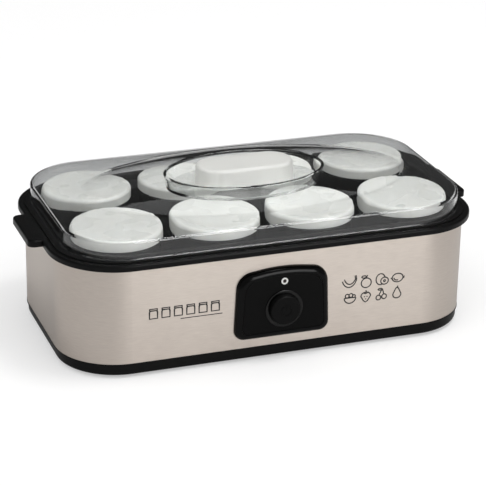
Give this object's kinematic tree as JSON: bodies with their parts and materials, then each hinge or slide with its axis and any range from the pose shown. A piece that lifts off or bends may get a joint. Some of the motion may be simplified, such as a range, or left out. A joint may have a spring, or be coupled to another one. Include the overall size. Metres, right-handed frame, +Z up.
{
  "type": "yogurt maker",
  "caption": "Countertop yogurt maker: a low rectangular heated well for glass jars, with a steel wrapper, a domed clear lid with a recessed grip, and a one-button front panel.",
  "frame": {"origin": "on the table, under the middle of the machine", "axes": "+X along the length, +Y to the back, +Z up; the controls face -Y"},
  "size_m": [0.3496, 0.192, 0.1254],
  "materials": {
    "black_plastic": "satin",
    "foot_rubber": "matt",
    "screw_steel": "plated",
    "brushed_steel": "brushed along its length",
    "well_plastic": "satin",
    "plate_aluminium": "mill",
    "cable_silicone": "silicone sleeve",
    "mica_sheet": "mica",
    "thermostat_body": "moulded",
    "fuse_metal": "bright",
    "bezel_gloss": "gloss",
    "fascia_gloss": "satin gloss",
    "ring_black": "gloss",
    "indicator_white": "translucent",
    "lens_dark": "gloss",
    "board_green": "solder mask",
    "switch_black": "moulded",
    "led_red": "clear red",
    "relay_blue": "moulded",
    "capacitor_red": "dipped",
    "terminal_white": "moulded",
    "bushing_rubber": "matt",
    "lead_sleeve": "silicone sleeve",
    "button_black": "satin",
    "plunger_white": "moulded",
    "clear_cover": "clear moulded plastic",
    "jar_glass": "clear glass",
    "cap_white": "gloss"
  },
  "bodies": {
    "housing": {"base_tray": "black_plastic", "rubber_feet": "foot_rubber", "base_screws": "screw_steel", "steel_band": "brushed_steel", "top_frame": "black_plastic", "inner_well": "well_plastic", "heater_plate": "plate_aluminium", "heating_cable": "cable_silicone", "insulation_sheet": "mica_sheet", "sheet_retainers": "screw_steel", "thermostat": "thermostat_body", "thermal_fuse": "fuse_metal", "fuse_strap": "fuse_metal", "control_bezel": "bezel_gloss", "control_fascia": "fascia_gloss", "button_ring": "ring_black", "indicator_ring": "indicator_white", "indicator_lens": "lens_dark", "control_board": "board_green", "board_screws": "screw_steel", "tact_switch": "switch_black", "indicator_led": "led_red", "power_board": "board_green", "power_board_screws": "screw_steel", "relay": "relay_blue", "dropper_capacitor": "capacitor_red", "mains_terminal": "terminal_white", "terminal_screws": "screw_steel", "cord_bushing": "bushing_rubber", "mains_leads": "lead_sleeve", "heater_leads": "lead_sleeve", "signal_leads": "lead_sleeve"},
    "cover_body": {"cover": "clear_cover"},
    "button_body": {"power_button": "button_black", "switch_plunger": "plunger_white"},
    "jar_body_1": {"jar_1": "jar_glass"},
    "cap_body_1": {"jar_cap_1": "cap_white"},
    "jar_body_2": {"jar_2": "jar_glass"},
    "cap_body_2": {"jar_cap_2": "cap_white"},
    "jar_body_3": {"jar_3": "jar_glass"},
    "cap_body_3": {"jar_cap_3": "cap_white"},
    "jar_body_4": {"jar_4": "jar_glass"},
    "cap_body_4": {"jar_cap_4": "cap_white"},
    "jar_body_5": {"jar_5": "jar_glass"},
    "cap_body_5": {"jar_cap_5": "cap_white"},
    "jar_body_6": {"jar_6": "jar_glass"},
    "cap_body_6": {"jar_cap_6": "cap_white"},
    "jar_body_7": {"jar_7": "jar_glass"},
    "cap_body_7": {"jar_cap_7": "cap_white"},
    "jar_body_8": {"jar_8": "jar_glass"},
    "cap_body_8": {"jar_cap_8": "cap_white"}
  },
  "joints": [
    {"name": "cover_lift", "type": "slide", "parent": "housing", "child": "cover_body", "axis": [0, 0, 1], "range_m": [0, 0.2]},
    {"name": "button_press", "type": "slide", "parent": "housing", "child": "button_body", "axis": [0, 1, 0], "range_m": [0, 0.001], "stiffness_N_per_m": 900, "springref_m": -0.0005},
    {"name": "jar_1_lift", "type": "slide", "parent": "housing", "child": "jar_body_1", "axis": [0, 0, 1], "range_m": [0, 0.09]},
    {"name": "jar_cap_1_pull", "type": "slide", "parent": "jar_body_1", "child": "cap_body_1", "axis": [0, 0, 1], "range_m": [0, 0.02]},
    {"name": "jar_2_lift", "type": "slide", "parent": "housing", "child": "jar_body_2", "axis": [0, 0, 1], "range_m": [0, 0.09]},
    {"name": "jar_cap_2_pull", "type": "slide", "parent": "jar_body_2", "child": "cap_body_2", "axis": [0, 0, 1], "range_m": [0, 0.02]},
    {"name": "jar_3_lift", "type": "slide", "parent": "housing", "child": "jar_body_3", "axis": [0, 0, 1], "range_m": [0, 0.09]},
    {"name": "jar_cap_3_pull", "type": "slide", "parent": "jar_body_3", "child": "cap_body_3", "axis": [0, 0, 1], "range_m": [0, 0.02]},
    {"name": "jar_4_lift", "type": "slide", "parent": "housing", "child": "jar_body_4", "axis": [0, 0, 1], "range_m": [0, 0.09]},
    {"name": "jar_cap_4_pull", "type": "slide", "parent": "jar_body_4", "child": "cap_body_4", "axis": [0, 0, 1], "range_m": [0, 0.02]},
    {"name": "jar_5_lift", "type": "slide", "parent": "housing", "child": "jar_body_5", "axis": [0, 0, 1], "range_m": [0, 0.09]},
    {"name": "jar_cap_5_pull", "type": "slide", "parent": "jar_body_5", "child": "cap_body_5", "axis": [0, 0, 1], "range_m": [0, 0.02]},
    {"name": "jar_6_lift", "type": "slide", "parent": "housing", "child": "jar_body_6", "axis": [0, 0, 1], "range_m": [0, 0.09]},
    {"name": "jar_cap_6_pull", "type": "slide", "parent": "jar_body_6", "child": "cap_body_6", "axis": [0, 0, 1], "range_m": [0, 0.02]},
    {"name": "jar_7_lift", "type": "slide", "parent": "housing", "child": "jar_body_7", "axis": [0, 0, 1], "range_m": [0, 0.09]},
    {"name": "jar_cap_7_pull", "type": "slide", "parent": "jar_body_7", "child": "cap_body_7", "axis": [0, 0, 1], "range_m": [0, 0.02]},
    {"name": "jar_8_lift", "type": "slide", "parent": "housing", "child": "jar_body_8", "axis": [0, 0, 1], "range_m": [0, 0.09]},
    {"name": "jar_cap_8_pull", "type": "slide", "parent": "jar_body_8", "child": "cap_body_8", "axis": [0, 0, 1], "range_m": [0, 0.02]}
  ],
  "couplings": [
    {"joint": "jar_1_lift", "follows": "cover_lift", "ratio": 0.45},
    {"joint": "jar_cap_1_pull", "follows": "cover_lift", "ratio": 0.1},
    {"joint": "jar_2_lift", "follows": "cover_lift", "ratio": 0.45},
    {"joint": "jar_cap_2_pull", "follows": "cover_lift", "ratio": 0.1},
    {"joint": "jar_3_lift", "follows": "cover_lift", "ratio": 0.45},
    {"joint": "jar_cap_3_pull", "follows": "cover_lift", "ratio": 0.1},
    {"joint": "jar_4_lift", "follows": "cover_lift", "ratio": 0.45},
    {"joint": "jar_cap_4_pull", "follows": "cover_lift", "ratio": 0.1},
    {"joint": "jar_5_lift", "follows": "cover_lift", "ratio": 0.45},
    {"joint": "jar_cap_5_pull", "follows": "cover_lift", "ratio": 0.1},
    {"joint": "jar_6_lift", "follows": "cover_lift", "ratio": 0.45},
    {"joint": "jar_cap_6_pull", "follows": "cover_lift", "ratio": 0.1},
    {"joint": "jar_7_lift", "follows": "cover_lift", "ratio": 0.45},
    {"joint": "jar_cap_7_pull", "follows": "cover_lift", "ratio": 0.1},
    {"joint": "jar_8_lift", "follows": "cover_lift", "ratio": 0.45},
    {"joint": "jar_cap_8_pull", "follows": "cover_lift", "ratio": 0.1}
  ]
}
